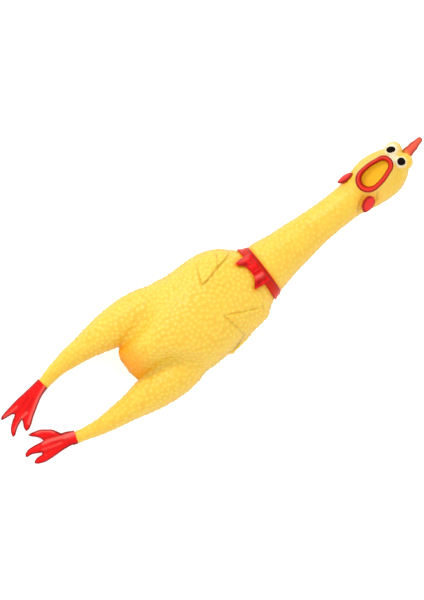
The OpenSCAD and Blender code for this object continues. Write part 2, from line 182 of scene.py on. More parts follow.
def loft(rows, x, y, z):
    """Distance to the surface through the rows' sections, below 0 inside."""
    q = rows_at(rows, x)
    dy = y - q[..., 1]
    dz = z - q[..., 2]
    tall = np.where(dz > 0, q[..., 4], q[..., 5])
    n = q[..., 6]
    out = np.sqrt(dy**2 + dz**2) + 1e-5
    r = ((np.abs(dy) / q[..., 3]) ** n + (np.abs(dz) / tall) ** n) ** (1 / n)
    d = out - out / np.maximum(r, 1e-5)
    past = np.maximum(rows[0, 0] - x, x - rows[-1, 0])
    return np.where(past > 0, np.hypot(np.maximum(d, 0), past), d)


def smooth_min(a, b, k):
    h = np.maximum(k - np.abs(a - b), 0) / k
    return np.minimum(a, b) - h * h * k / 4


def smooth_max(a, b, k):
    return -smooth_min(-a, -b, k)


def ease(t):
    t = np.clip(t, 0, 1)
    return t * t * (3 - 2 * t)


def cone(x, y, z, a, b, ra, rb):
    """Distance to a rod from a to b, whose radius runs from ra to rb."""
    ax, ay, az = x - a[0], y - a[1], z - a[2]
    d = np.subtract(b, a)
    t = np.clip((ax * d[0] + ay * d[1] + az * d[2]) / (d @ d), 0, 1)
    away = np.sqrt((ax - t * d[0]) ** 2 + (ay - t * d[1]) ** 2 + (az - t * d[2]) ** 2)
    return away - (ra + (rb - ra) * t)


def ellipsoid(x, y, z, radii):
    """About the distance to an ellipsoid at the origin."""
    p = [v / r for v, r in zip((x, y, z), radii)]
    k0 = np.sqrt(p[0] ** 2 + p[1] ** 2 + p[2] ** 2) + 1e-6
    k1 = np.sqrt(sum((v / r) ** 2 for v, r in zip(p, radii))) + 1e-6
    return k0 * (k0 - 1) / k1


def line_distance(points, x, y):
    """Distance to a line of several straight stretches in the plane."""
    best = np.full(np.broadcast(x, y).shape, np.inf)
    for (ax, ay), (bx, by) in zip(points, points[1:]):
        dx, dy = bx - ax, by - ay
        t = np.clip(((x - ax) * dx + (y - ay) * dy) / (dx * dx + dy * dy), 0, 1)
        best = np.minimum(best, np.hypot(x - ax - t * dx, y - ay - t * dy))
    return best


def outline(corners, x, y):
    """Distance to a closed outline in the plane, below 0 inside."""
    closed = corners + corners[:1]
    away = line_distance(closed, x, y)
    inside = np.zeros(away.shape, bool)
    for (ax, ay), (bx, by) in zip(closed, closed[1:]):
        if by != ay:
            inside ^= ((ay > y) != (by > y)) & (x < ax + (bx - ax) * (y - ay) / (by - ay))
    return np.where(inside, -away, away)


def rounded(u, v, half_u, half_v, r):
    """A block in the u, v plane, its corners rounded by r."""
    a, b = np.abs(u) - (half_u - r), np.abs(v) - (half_v - r)
    return np.hypot(np.maximum(a, 0), np.maximum(b, 0)) + np.minimum(np.maximum(a, b), 0) - r


def leg_rows(side):
    rows = LEG.copy()
    rows[:, 1] += side * LEG_SWAY * (1 - ease((rows[:, 0] - SWAY_FROM) / SWAY_OVER))
    return rows


LEGS = {name: leg_rows(side) for name, side in SIDES.items()}


def turned_to_head(x, y, z):
    """A direction on the table, given along the head's own axes."""
    c, s = math.cos(HEAD_LEAN), math.sin(HEAD_LEAN)
    x, y = x * c + y * s, y * c - x * s
    c, s = math.cos(HEAD_TURN), math.sin(HEAD_TURN)
    return x, y * c - z * s, z * c + y * s


def into_head(x, y, z):
    """The table's x, y, z as the head's own."""
    return turned_to_head(x - HEAD_AT[0], y - HEAD_AT[1], z - HEAD_AT[2])


def egg(shape, x, y):
    """Distance to an egg in the head's frame, below 0 inside."""
    wide_x, wide_y, r1, length, r2, bulge = shape
    along, across = x - wide_x, np.abs(y - wide_y)
    b = (r1 - r2) / length
    a = math.sqrt(1 - b * b)
    k = a * along - b * across
    side = a * across + b * along - r1
    wide = np.hypot(across, along) - r1
    narrow = np.hypot(across, along - length) - r2
    t = np.clip((along / length - 0.5) / 0.85, -1, 1)
    plain = np.where(k < 0, wide, np.where(k > a * length, narrow, side))
    return plain - bulge * np.cos(math.pi * t / 2) ** 2


# ---------------------------------------------------------------- the skin's shape
WING_RIGHT = [(174, 18.2), (170, 16.5), (166, 15.7), (163.2, 15.2), (160, 14.2), (156, 13.1), (149.2, 11.8),
              (149.1, 14), (150, 17), (152.5, 23), (156, 30), (160, 36), (178, 36)]
WING_LEFT = [(172, -22.0), (167.4, -19.4), (163, -17.3), (158, -15.3), (155, -13.5), (148.6, -11.4),
             (149.6, -16), (150.4, -20), (152, -27.2), (155, -36), (178, -36)]
# Lines pressed into the moulding: where they run, half width, depth and how much painted shade they take.
CREASES = [
    ([(173.6, 17.9), (170, 16.5), (166, 15.8), (163.2, 15.2), (160, 14.2), (156, 13.1), (149, 11.9)],
     0.6, 0.4, 0.45),
    ([(149, 11.9), (149.1, 14), (150.2, 17), (151.5, 20), (153, 24)], 0.7, 0.35, 0.4),
    ([(163, 15.3), (165, 18.6), (167, 22.5)], 0.7, 0.4, 0.5),
    ([(171, -19.8), (170.5, -20.8), (170.4, -21.6)], 0.6, 0.4, 0.4),
    ([(167.4, -19.4), (163, -17.3), (158, -15.3), (155, -13.5), (151.5, -12.2), (148.6, -11.4)],
     0.55, 0.4, 0.38),
    ([(148.6, -11.8), (149.6, -16), (150.4, -20), (151, -24), (152, -27)], 0.6, 0.35, 0.32),
    ([(152, -27.4), (149, -28.8), (145, -30.2), (141.5, -31.2)], 0.7, 0.2, 0.6),
    ([(252.2, -8), (254.5, -5.2), (257.5, -3), (261, -1.8)], 0.65, 0.4, 0.6),
    ([(266, -8.6), (267.2, -6.6), (269, -5.2)], 0.6, 0.35, 0.55),
]
# A wing stands out this far, and reaches that height this far inside its outline.
WING_RISE = 1.1
WING_SLOPE = 1.2
# How widely the thighs melt into the body: wider and wider from the crotch to the belly.
THIGH_FILL_X = [80, 84, 88, 96, 106, 120]
THIGH_FILL = [1.4, 3.2, 4.2, 6.0, 9.0, 10.0]


def wing_rise(x, y):
    rise = 0
    for corners in (WING_RIGHT, WING_LEFT):
        rise = rise + WING_RISE * ease(-outline(corners, x, y) / WING_SLOPE)
    # The wing sinks back into the shoulder and the flank.
    return rise * ease((177 - x) / 7) * (1 - 0.75 * ease((np.abs(y) - 15) / 8))


def relief(x, y):
    """How far the moulding's wings and creases stand out of the plain skin, seen from above."""
    rise = wing_rise(x, y)
    for points, width, depth, _ in CREASES:
        rise = rise - depth * np.exp(-((line_distance(points, x, y) / width) ** 2))
    return rise


def outer_feather(x, y, z):
    """The left wing's last feather, which stands out of the flank."""
    blade = cone(x, y, z, (166, -21.0, 17), (151, -27.5, 19.5), 4.0, 3.4)
    return smooth_min(blade, cone(x, y, z, (151, -27.5, 19.5), (139.3, -31.2, 20.5), 3.4, 1.6), 0.5)


def head_extra(d, x, y, z):
    """The brows, the muzzle and the mouth's pocket, put into the field d."""
    hx, hy, hz = into_head(x, y, z)
    for side in SIDES.values():
        brow = np.sqrt((hx - BROW[0]) ** 2 + (hy - side * BROW[1]) ** 2 + (hz - BROW[2]) ** 2) - BROW_R
        d = smooth_min(d, brow, BROW_BLEND)
    mouth = egg(MOUTH, hx, hy)
    muzzle = smooth_max(mouth - np.interp(hz, MUZZLE_HEIGHTS, MUZZLE_REACH), hz - (MUZZLE_Z - 0.5), 2.0)
    d = smooth_min(d, muzzle, MUZZLE_BLEND)
    pocket = smooth_max(mouth + 0.1, -hz - 6, 1.0)
    return np.maximum(d, -pocket)


def skin(x, y, z):
    """The whole skin without its pimples."""
    legs = np.minimum(loft(LEGS["right"], x, y, z), loft(LEGS["left"], x, -y, z))
    d = smooth_min(loft(SPINE, x, y, z), legs, np.interp(x, THIGH_FILL_X, THIGH_FILL))
    d = smooth_min(d, outer_feather(x, y, z), 0.5)
    d = d - relief(x, y) * ease((z - 8) / 8)
    d = smooth_max(d, -z, 1.0)
    return head_extra(d, x, y, z)


# ---------------------------------------------------------------- from fields to meshes
# Fields are cut off this far from their surfaces.
FAR = 3.0
LONGEST_MOVE = 0.4


def surface(field, lo, hi, step):
    """Points and quads of the field's zero level within a box."""
    axes = [np.arange(a, b + step, step) for a, b in zip(lo, hi)]
    x, y, z = np.meshgrid(*axes, indexing="ij", sparse=True)
    values = np.ascontiguousarray(np.broadcast_to(field(x, y, z), [len(a) for a in axes]), np.float32)
    grid = openvdb.FloatGrid(FAR)
    grid.copyFromArray(np.clip(values, -FAR, FAR))
    points, quads = grid.convertToQuads(0.0)
    points = settle(np.array(points, float) * step + [a[0] for a in axes], field)
    return points, np.array(quads)


def settle(points, field, rounds=2):
    """Moves the points onto the field's zero level."""
    for _ in range(rounds):
        f, g = slope_at(points, field)
        steep = np.maximum((g**2).sum(1), 0.05)
        move = np.clip(f / steep, -LONGEST_MOVE, LONGEST_MOVE)
        points = points - move[:, None] * g
    return points


def slope_at(points, field):
    """A field's value and its slope at each point."""
    x, y, z = points.T
    e = 0.04
    f = field(x, y, z)
    g = np.stack([
        field(x + e, y, z) - field(x - e, y, z),
        field(x, y + e, z) - field(x, y - e, z),
        field(x, y, z + e) - field(x, y, z - e),
    ], axis=1) / (2 * e)
    return f, g


def point_normals(points, quads):
    """Normals of the points, weighed by the faces' areas."""
    across = np.cross(points[quads[:, 2]] - points[quads[:, 0]], points[quads[:, 3]] - points[quads[:, 1]])
    normals = np.zeros_like(points)
    for corner in range(4):
        np.add.at(normals, quads[:, corner], across)
    return normals / np.maximum(np.linalg.norm(normals, axis=1), 1e-9)[:, None]


def to_metres(points):
    return (points - [LENGTH / 2, 0, 0]) * MM


def add_mesh(name, points, quads, normals, material, **values):
    """A Blender piece of these faces, with only the points it needs, and its point attributes."""
    used, index = np.unique(quads, return_inverse=True)
    quads = index.reshape(-1, 4)
    mesh = bpy.data.meshes.new(name)
    mesh.vertices.add(len(used))
    mesh.vertices.foreach_set("co", to_metres(points[used]).astype(np.float32).ravel())
    mesh.loops.add(quads.size)
    mesh.loops.foreach_set("vertex_index", quads.astype(np.int32).ravel())
    mesh.polygons.add(len(quads))
    mesh.polygons.foreach_set("loop_start", np.arange(0, quads.size, 4, dtype=np.int32))
    mesh.update(calc_edges=True)
    mesh.validate()
    for key, value in values.items():
        layer = mesh.attributes.new(key, "FLOAT", "POINT")
        layer.data.foreach_set("value", np.asarray(value, np.float32)[used])
    mesh.shade_smooth()
    mesh.normals_split_custom_set_from_vertices(normals[used])
    mesh.materials.append(material)
    piece = bpy.data.objects.new(name, mesh)
    bpy.context.scene.collection.objects.link(piece)
    return piece


def add_field(name, field, lo, hi, step, material, rim=0, **values):
    """A piece that is a field's whole surface. Values are functions of its points; rim is how much painted
    shade its steep sides take.
    """
    points, quads = surface(field, lo, hi, step)
    normals = point_normals(points, quads)
    made = {key: value(points) for key, value in values.items()}
    # Painted shade where the surface turns away from straight up.
    made["rim"] = rim * ease((0.97 - normals[:, 2]) / 0.35)
    return add_mesh(name, points, quads, normals, material, **made)


# ---------------------------------------------------------------- pimples
PIMPLE_GAP = 2.75
PIMPLE_R = 1.75
PIMPLE_SEED = 7
# How tall the pimples are along the toy: tall on the belly and thighs, low on the shanks, neck and face.
PIMPLE_X = [30, 45, 70, 90, 165, 182, 200, 250, 275]
PIMPLE_TALL = [0.1, 0.24, 0.34, 0.42, 0.42, 0.3, 0.27, 0.24, 0.16]
# Part of a pimple's height that is taken off all the skin, so that it doesn't grow.
PIMPLE_SINK = 0.35
# A pimple this tall takes its full painted highlight.
HIGHLIGHT_TALL = 0.36


def scatter(points, gap, seed):
    """Points picked at random so that no two are nearer than gap."""
    cells = np.floor(points / gap).astype(int)
    taken = {}
    picked = []
    around = [(a, b, c) for a in (-1, 0, 1) for b in (-1, 0, 1) for c in (-1, 0, 1)]
    for i in np.random.default_rng(seed).permutation(len(points)):
        key = tuple(cells[i])
        near = [j for a, b, c in around for j in taken.get((key[0] + a, key[1] + b, key[2] + c), ())]
        if near and ((points[near] - points[i]) ** 2).sum(1).min() < gap * gap:
            continue
        taken.setdefault(key, []).append(i)
        picked.append(i)
    return points[picked]


def pimple_height(points):
    """How tall a pimple is at each point. None stand under the collar, by the beak or where it rests."""
    x, y, z = points.T
    tall = np.interp(x, PIMPLE_X, PIMPLE_TALL)
    hx, hy, _ = into_head(x, y, z)
    face = ease((egg(MOUTH, hx, hy) - BEAK_W) / 3) * (1 - cream_of(points))
    tall = np.where(x > 255, tall * face, tall)
    bow = ease((np.abs(x - 183) - 3.5) / 1.5)
    floor = ease((z - 0.6) / 2)
    return tall * bow * floor * (1 - 0.7 * crease_of(points))


def pimpled(points, normals, seeds):
    """The points with pimples raised, and how much painted highlight each point takes from its pimple."""
    tree = KDTree(len(seeds))
    for i, seed in enumerate(seeds):
        tree.insert(seed, i)
    tree.balance()
    away = np.array([tree.find(p)[2] for p in points])
    dome = np.clip(1 - (away / PIMPLE_R) ** 2, 0, 1) ** 1.5
    height = pimple_height(points)
    raised = points + normals * (height * (dome - PIMPLE_SINK))[:, None]
    return raised, dome * np.clip(height / HIGHLIGHT_TALL, 0, 1)


# ---------------------------------------------------------------- materials
SOFT = {"Subsurface_Weight": 0.2, "Subsurface_Radius": (1.0, 0.35, 0.08), "Subsurface_Scale": 0.0015}
# Scale of a noise that wanders over about 7 mm.
MOTTLE = 150
GRAIN_DEEP = 0.0004


def rgb(red, green, blue):
    """A display colour, 0 to 255, as the linear one that a shader takes."""
    def linear(v):
        v /= 255
        return v / 12.92 if v <= 0.04045 else ((v + 0.055) / 1.055) ** 2.4

    return (linear(red), linear(green), linear(blue), 1.0)


def shader(name, colour, roughness, **more):
    """A plain material; more holds other sockets of its shader."""
    material = bpy.data.materials.new(name)
    material.use_nodes = True
    socket = material.node_tree.nodes["Principled BSDF"].inputs
    socket["Base Color"].default_value = colour
    socket["Roughness"].default_value = roughness
    for key, value in more.items():
        socket[key.replace("_", " ")].default_value = value
    return material


def mix(tree, share, low, high):
    """A colour between low and high: each is a colour or a socket, and share a socket."""
    node = tree.nodes.new("ShaderNodeMix")
    node.data_type = "RGBA"
    tree.links.new(share, node.inputs[0])
    for slot, value in ((6, low), (7, high)):
        if isinstance(value, tuple):
            node.inputs[slot].default_value = value
        else:
            tree.links.new(value, node.inputs[slot])
    return node.outputs[2]


def attribute(tree, name):
    node = tree.nodes.new("ShaderNodeAttribute")
    node.attribute_name = name
    return node.outputs["Fac"]


def noise(tree, scale, detail):
    """A share that wanders, in object space."""
    made = tree.nodes.new("ShaderNodeTexNoise")
    made.inputs["Scale"].default_value = scale
    made.inputs["Detail"].default_value = detail
    tree.links.new(tree.nodes.new("ShaderNodeTexCoord").outputs["Object"], made.inputs["Vector"])
    return made.outputs["Fac"]


def grain(tree, scale, strength):
    """A fine bump on the material's shader."""
    bump = tree.nodes.new("ShaderNodeBump")
    bump.inputs["Strength"].default_value = strength
    bump.inputs["Distance"].default_value = GRAIN_DEEP
    tree.links.new(noise(tree, scale, 3), bump.inputs["Height"])
    tree.links.new(bump.outputs["Normal"], tree.nodes["Principled BSDF"].inputs["Normal"])


def edge_on(tree):
    """Near 1 only where a surface is seen almost edge on."""
    weight = tree.nodes.new("ShaderNodeLayerWeight")
    weight.inputs["Blend"].default_value = 0.5
    power = tree.nodes.new("ShaderNodeMath")
    power.operation = "POWER"
    power.inputs[1].default_value = 4
    tree.links.new(weight.outputs["Facing"], power.inputs[0])
    return power.outputs[0]


def fall(tree, share, slope, start):
    """start + slope * share, kept within 0 and 1. Start is a number or a socket."""
    node = tree.nodes.new("ShaderNodeMath")
    node.operation = "MULTIPLY_ADD"
    node.use_clamp = True
    node.inputs[1].default_value = slope
    tree.links.new(share, node.inputs[0])
    if isinstance(start, float):
        node.inputs[2].default_value = start
    else:
        tree.links.new(start, node.inputs[2])
    return node.outputs[0]


def yellow_vinyl():
    """Yellow with a painted highlight on the pimples, orange where it is sprayed, painted shade in the creases,
    cream round the eyes.
    """
    material = shader("yellow_vinyl", rgb(251, 200, 40), 0.42, **SOFT)
    tree = material.node_tree
    inputs = tree.nodes["Principled BSDF"].inputs
    mottled = mix(tree, noise(tree, MOTTLE, 2), rgb(246, 188, 42), rgb(250, 209, 60))
    # Painted highlight: the pimples' tops are paler.
    dotted = mix(tree, attribute(tree, "dot"), mottled, rgb(252, 215, 75))
    sprayed = mix(tree, attribute(tree, "tint"), dotted, rgb(252, 148, 8))
    # Painted shade along the moulding's creases.
    creased = mix(tree, attribute(tree, "crease"), sprayed, rgb(186, 142, 6))
    cream = mix(tree, attribute(tree, "cream"), creased, rgb(253, 240, 214))
    # Seen edge on it takes a painted shade and loses its shine.
    edge = edge_on(tree)
    tree.links.new(mix(tree, edge, cream, rgb(150, 114, 20)), inputs["Base Color"])
    dry = fall(tree, attribute(tree, "tint"), -0.45, 0.6)
    tree.links.new(fall(tree, edge, -0.6, dry), inputs["Specular IOR Level"])
    grain(tree, 1400, 0.12)
    return material


def red_paint(name, colour, dark):
    """Glossy paint: its second colour where shade says, a pink painted highlight and a nearly brown painted
    shade along a rim.
    """
    material = shader(name, colour, 0.34, **SOFT, Specular_IOR_Level=0.12)
    tree = material.node_tree
    shaded = mix(tree, attribute(tree, "shade"), colour, dark)
    # Pink painted highlight.
    glowing = mix(tree, attribute(tree, "glow"), shaded, rgb(255, 118, 108))
    # Nearly brown painted shade along steep sides.
    rimmed = mix(tree, attribute(tree, "rim"), glowing, rgb(108, 10, 14))
    tree.links.new(rimmed, tree.nodes["Principled BSDF"].inputs["Base Color"])
    grain(tree, 900, 0.1)
    return material


YELLOW = yellow_vinyl()
RED = red_paint("red_paint", rgb(250, 24, 24), rgb(168, 2, 6))
BEAK_RED = red_paint("beak_red", rgb(226, 44, 18), rgb(146, 14, 4))
CORAL = red_paint("coral_paint", rgb(240, 98, 76), rgb(250, 170, 74))
ROSE = red_paint("rose_paint", rgb(244, 58, 54), rgb(170, 34, 26))
ORANGE = red_paint("orange_paint", rgb(250, 193, 34), rgb(214, 96, 8))
BLACK = shader("black_paint", rgb(24, 11, 5), 0.5, Specular_IOR_Level=0.05)
HOUSING = shader("housing_plastic", rgb(236, 236, 232), 0.4)
SEAT = shader("seat_plastic", rgb(222, 216, 196), 0.45)
REED = shader("reed_film", rgb(180, 208, 228), 0.25)


# ---------------------------------------------------------------- the skin's pieces
def bow_line(x, y):
    """Distance to the bow's outline, seen from above."""
    return np.minimum(outline(BOW_RIGHT, x, y), outline(BOW_LEFT, x, y))


def tint_of(points):
    """Orange sprayed round the tail, the wattles, the bow and the collar."""
    x, y, z = points.T
    tail = ease((103 - x) / 21) * ease((14 - np.abs(y)) / 4) * (x > 76)
    halo = 0
    for side in SIDES.values():
        u, v, _ = into_wattle(x, y, z, side)
        reach = np.exp(-(((np.hypot(u / 1.2, v) - 2.6) / 3.8) ** 2)) * (z > 8) * (x > 240)
        halo = halo + (0.3 if side > 0 else 1) * reach
    bow = np.exp(-((np.maximum(bow_line(x, y), 0) / 1.7) ** 2)) * (z > 25)
    u = x - collar_middle(y)
    collar = np.exp(-(((u - 4.2) / 1.3) ** 2)) + 0.7 * np.exp(-(((u + 3.4) / 1.2) ** 2))
    return np.clip(0.8 * tail + 0.8 * halo + 0.6 * bow + 0.35 * collar, 0, 1)


def cream_of(points):
    """The pale ground that the pupils are painted on."""
    hx, hy, hz = into_head(*points.T)
    pale = 0
    for name, (shift, radius, fade) in EYE_GROUNDS.items():
        px, py = PUPILS[name][:2]
        pale = np.maximum(pale, ease((radius - np.hypot(hx - px - shift, hy - py)) / fade))
    between = ease((1.5 - np.hypot((hx - 14.6) / 2.8, hy / 3.4)) / 0.9)
    return np.maximum(pale, 0.8 * between) * ease((hz - 6) / 4)


def crease_of(points):
    """How much painted shade the moulding's creases put on each point."""
    x, y, z = points.T
    dark = 0
    for line, width, _, share in CREASES:
        dark = np.maximum(dark, share * np.exp(-((line_distance(line, x, y) / (0.9 * width)) ** 2)))
    return dark * ease((z - 12) / 5)


def build_skin():
    """The whole skin, cut into pieces that share their edges, by name."""
    step = 0.52
    points, quads = surface(skin, (26, -38, -2), (300, 38, 52), step)
    normals = point_normals(points, quads)
    seeds = scatter(points, PIMPLE_GAP, PIMPLE_SEED)
    tint, cream, crease = tint_of(points), cream_of(points), crease_of(points)
    points, dot = pimpled(points, normals, seeds)
    points[:, 2] = np.maximum(points[:, 2], 0)
    normals = point_normals(points, quads)
    where = points[quads].mean(1)
    x, y, z = where.T
    masks = {}
    body = (x >= HIP_END) | (np.abs(y) < BELLY_HALF)
    body &= x < NECK_BASE
    masks["belly_skin"] = body & (z > BELLY_Z)
    masks["torso_skin"] = body & (z <= BELLY_Z)
    masks["neck_base_skin"] = (x >= NECK_BASE) & (x < NECK_MIDDLE)
    masks["neck_middle_skin"] = (x >= NECK_MIDDLE) & (x < THROAT)
    masks["throat_skin"] = (x >= THROAT) & (x < HEAD)
    masks["head_skin"] = x >= HEAD
    for name, side in SIDES.items():
        leg = (x < HIP_END) & (y * side > 0) & ~body
        masks["hip_skin_" + name] = leg & (x >= KNEE_END)
        masks["knee_skin_" + name] = leg & (x < KNEE_END) & (x >= SHIN_END)
        masks["shin_skin_" + name] = leg & (x < SHIN_END) & (x > paint_line(name, y) - 0.6)
    made = {}
    for name, mask in masks.items():
        made[name] = add_mesh(name, points, quads[mask], normals, YELLOW, dot=dot, tint=tint, cream=cream,
                              crease=crease)
    return made


def bends(piece):
    """Bakes a piece of skin's place into its points; it is tied to no body."""
    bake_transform(piece)


# ---------------------------------------------------------------- feet
# The outline of each foot, from its outer side at the ankle round the toes to its inner side.
FOOT_EDGE = {
    "right": [(40, 25.7), (33.6, 24.8), (25, 23.6), (15, 22.5), (9, 21.3), (4.2, 20.3), (0.9, 18.9),
              (0.5, 17.6), (4.5, 17.2), (7.9, 16.9), (9.4, 15.9), (7.9, 14.7), (4.5, 12.6), (2.1, 10.4),
              (0.7, 8), (0, 5.3), (1.8, 5.1), (4.5, 7.4), (7.5, 9.2), (11.1, 10.6), (10.3, 8.6), (8.9, 6.0),
              (8.7, 3.5), (10.7, 3.2), (14, 4.9), (18, 8.3), (25, 12.8), (30, 15.7), (34.6, 17.4), (40, 18.2)],
    "left": [(40, -14.6), (32.8, -13.3), (30, -12.1), (27, -11.0), (25.2, -10.5), (23.6, -7.4), (22.4, -4.8),
             (19, -2.5), (16, -0.4), (12.2, 0.5), (8.1, 1.2), (9.4, -1.0), (11.9, -3.2), (13.4, -5.2),
             (14.1, -7.4), (11.5, -7.1), (7.5, -6.4), (3.5, -6.2), (0.4, -7.2), (-0.8, -9.2), (0.4, -10),
             (3.4, -9.9), (6.3, -11.5), (9, -12.9), (8.4, -13.8), (4.8, -13.5), (2.2, -14.3), (1.3, -15.6),
             (3.4, -17.3), (7.5, -18.9), (14, -19.3), (20, -19), (26, -19.5), (30.5, -21.2), (40, -23.4)],
}
# Each toe's bone, from its tip to the ankle, with its radius.
TOES = {
    "right": [[(2.6, 18.7, 1.1), (9, 19.0, 1.9), (31, 21.4, 2.6)],
              [(2.0, 7.0, 1.1), (7.4, 12.2, 1.8), (17, 16.4, 2.1), (31, 21, 2.6)],
              [(10.6, 4.9, 1.1), (14.5, 8.2, 1.9), (31, 19.4, 2.4)]],
    "left": [[(10.6, -0.2, 0.9), (16.4, -3.2, 1.9), (21.6, -7.4, 2.0), (31, -15.4, 2.4)],
             [(1.6, -8.4, 1.1), (8, -9.4, 1.9), (20, -12.4, 2.2), (31, -16.6, 2.6)],
             [(4.0, -15.6, 1.1), (9, -16.3, 1.9), (31, -18.2, 2.4)]],
}
# Painted highlights along the toes' ridges, and painted shade along the grooves between them: a line, its half
# width and its strength.
FOOT_HIGHLIGHT = {
    "right": [([(13, 6.4), (18, 9.9), (25, 14.4), (30, 17), (34, 18.8)], 0.9, 0.7),
              ([(3.5, 8.2), (8, 10.4), (12, 11.9), (16, 12.4)], 0.8, 0.5),
              ([(3.2, 18.6), (7, 18.4), (13, 18.9)], 0.8, 0.45)],
    "left": [([(13, -8.6), (17, -9.5), (22, -11.3), (26, -13.0)], 1.0, 0.7),
             ([(26, -13.0), (32, -14.9)], 1.5, 0.85),
             ([(13.5, -0.9), (17, -2.2), (20.6, -4.6), (22.4, -7)], 0.8, 0.6),
             ([(10.5, -11.6), (16, -13.4), (22, -14.8)], 0.7, 0.35)],
}
# Painted shade in the grooves between the toes.
FOOT_SHADE = {
    "right": [([(10.5, 16.2), (16, 17.2), (22, 19.4)], 1.0, 0.4),
              ([(12, 10.2), (17, 13.4), (24, 17)], 1.0, 0.4)],
    "left": [([(15.2, -9.6), (20, -12.4), (27, -15.6)], 1.0, 0.5),
             ([(15.4, -6.8), (20, -8.6), (25, -11)], 0.9, 0.5),
             ([(10.2, -13.2), (18, -16), (28, -18)], 1.0, 0.4)],
}


def lines_at(lines, points):
    """How near each point is to any of the lines, as a share."""
    share = 0
    for line, width, strength in lines:
        away = line_distance(line, points[:, 0], points[:, 1])
        share = np.maximum(share, strength * np.exp(-((away / width) ** 2)))
    return share


def soften(corners, rounds=2):
    """A closed outline with its corners cut off, round after round."""
    for _ in range(rounds):
        corners = [
            tuple(share * p + (1 - share) * q for p, q in zip(a, b))
            for a, b in zip(corners, corners[1:] + corners[:1])
            for share in (0.84, 0.16)
        ]
    return corners


def foot_z(x):
    """Height of a foot's middle, from the toes that rest on the table up to the ankle."""
    return np.interp(x, [0, 8, 34.5], [1.6, 2.1, 7.5])


def foot_half(x):
    """Half the thickness of a foot's web."""
    return np.interp(x, [0, 10, 20, 34], [1.3, 1.5, 2.1, 3.8])


def foot_field(name):
    """A foot: a thin web within its outline, with a bone along each toe, grown into the shank's end."""
    rows = LEGS[name]
    side = SIDES[name]
    edge = soften(FOOT_EDGE[name])

    def field(x, y, z):
        out = outline(edge, x, y)
        mid = foot_z(x)
        half = foot_half(x)
        plate = np.hypot(np.maximum(out + 2.0, 0), (z - mid) * 2.0 / half) - 2.0
        d = plate * half / 2.0
        for toe in TOES[name]:
            for (ax, ay, ar), (bx, by, br) in zip(toe, toe[1:]):
                a, b = (ax, ay, foot_z(ax) + 0.25), (bx, by, foot_z(bx) + 0.5)
                d = smooth_min(d, cone(x, y, z, a, b, ar, br), 0.7)
        d = smooth_max(d, out - 0.4, 0.8)
        shin = loft(rows, x, side * y, z) - 0.1
        d = smooth_min(d, np.maximum(shin, 27.5 - x), 1.5)
        return smooth_max(d, -z, 0.5)

    return field


def paint_line(name, y):
    """Where the foot's red paint ends, as an x for each y."""
    return 33.8 + (24.3 - y) * 0.17 if name == "right" else 32.8 + (y + 13.5) * 0.3


def build_feet():
    """Each foot as far as its paint goes. The shin's skin goes on from the paint's line."""
    step = 0.3
    for name in SIDES:
        points, quads = surface(foot_field(name), (-2, -26, -1.5), (39, 28, 14), step)
        past = points[:, 0] - paint_line(name, points[:, 1])
        points[:, 0] -= np.where(np.abs(past) < 0.7 * step, past, 0)
        normals = point_normals(points, quads)
        x, y = points[quads].mean(1).T[:2]
        keep = x < paint_line(name, y)
        out = outline(soften(FOOT_EDGE[name]), points[:, 0], points[:, 1])
        # Painted shade round the foot's outline.
        rim = 0.85 * ease((out + 1.3) / 1.0)
        piece = add_mesh("foot_paint_" + name, points, quads[keep], normals, RED, rim=rim,
                         glow=lines_at(FOOT_HIGHLIGHT[name], points), shade=lines_at(FOOT_SHADE[name], points))
        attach(piece, "foot_" + name)
        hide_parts("foot_" + name)


build_feet()


# ---------------------------------------------------------------- collar and bow
COLLAR_RISE = 1.35
BOW_RIGHT = [(177.8, 0.6), (177.2, 3.6), (176.2, 6.2), (174.4, 8.2), (172.8, 9.6), (173.2, 11.0),
             (176, 11.4), (184.4, 11.2), (184.2, 5.6), (183.6, 0.6)]
BOW_LEFT = [(177.8, -1.4), (176.8, -3.8), (175.2, -6.0), (173.5, -8.2), (173.6, -9.4), (176, -9.6),
            (184.6, -10.2), (184.2, -5.4), (183.6, -1.4)]
KNOT = (180.4, -0.2)
# The knot's folds, in radians a millimetre across it.
KNOT_FOLDS = 3.6
# Painted highlights and painted shade on the loops: a line, its half width and its strength.
BOW_HIGHLIGHT = [([(178.6, -3.6), (182, -4.2)], 1.5, 0.6), ([(176.5, 9.9), (181, 9.2)], 1.2, 0.4)]
BOW_SHADE = [([(175.4, -7.4), (181.5, -7.2)], 1.4, 0.6), ([(175.6, 8.6), (177.8, 6.4)], 1.2, 0.6)]


def collar_middle(y):
    """The band's middle is nearer the head in front than at the sides, and it is a little askew."""
    return 182.5 - 0.7 * ((y + 3) / 17) ** 2 - 0.02 * (y + 3)


def collar_field(x, y, z):
    """The band, with a narrow fringe along its edge towards the head."""
    u = x - collar_middle(y)
    v = loft(SPINE, x, y, z)
    band = rounded(u, v - (COLLAR_RISE - 2) / 2, 2.5, (COLLAR_RISE + 2) / 2, 0.8)
    fringe = rounded(u - 2.2, v + 0.7, 1.45, 1.3, 0.5)
    return np.minimum(band, fringe)


def collar_shade(points):
    x, y, _ = points.T
    u = x - collar_middle(y)
    groove = np.exp(-(((u - 2.5) / 0.45) ** 2))
    return np.clip(0.25 - 0.25 * ease((u - 2.7) / 0.5) + 0.6 * groove + 0.3 * ease((-1.9 - u) / 0.6), 0, 1)


def lobe_rise(x, y):
    """How far a loop of the bow stands out: it swells by the knot, dips, and flares at its end."""
    out = np.abs(y - KNOT[1])
    pleat = np.cos(np.arctan2(x - KNOT[0], out + 0.5) * 11.0) * ease((out - 2) / 4)
    return 2.5 + 0.55 * np.cos((out - 3.7) * 1.05) + 0.35 * pleat


def lobe_field(x, y, z):
    return smooth_max(bow_line(x, y) + 0.1, loft(SPINE, x, y, z) - lobe_rise(x, y), 1.2)


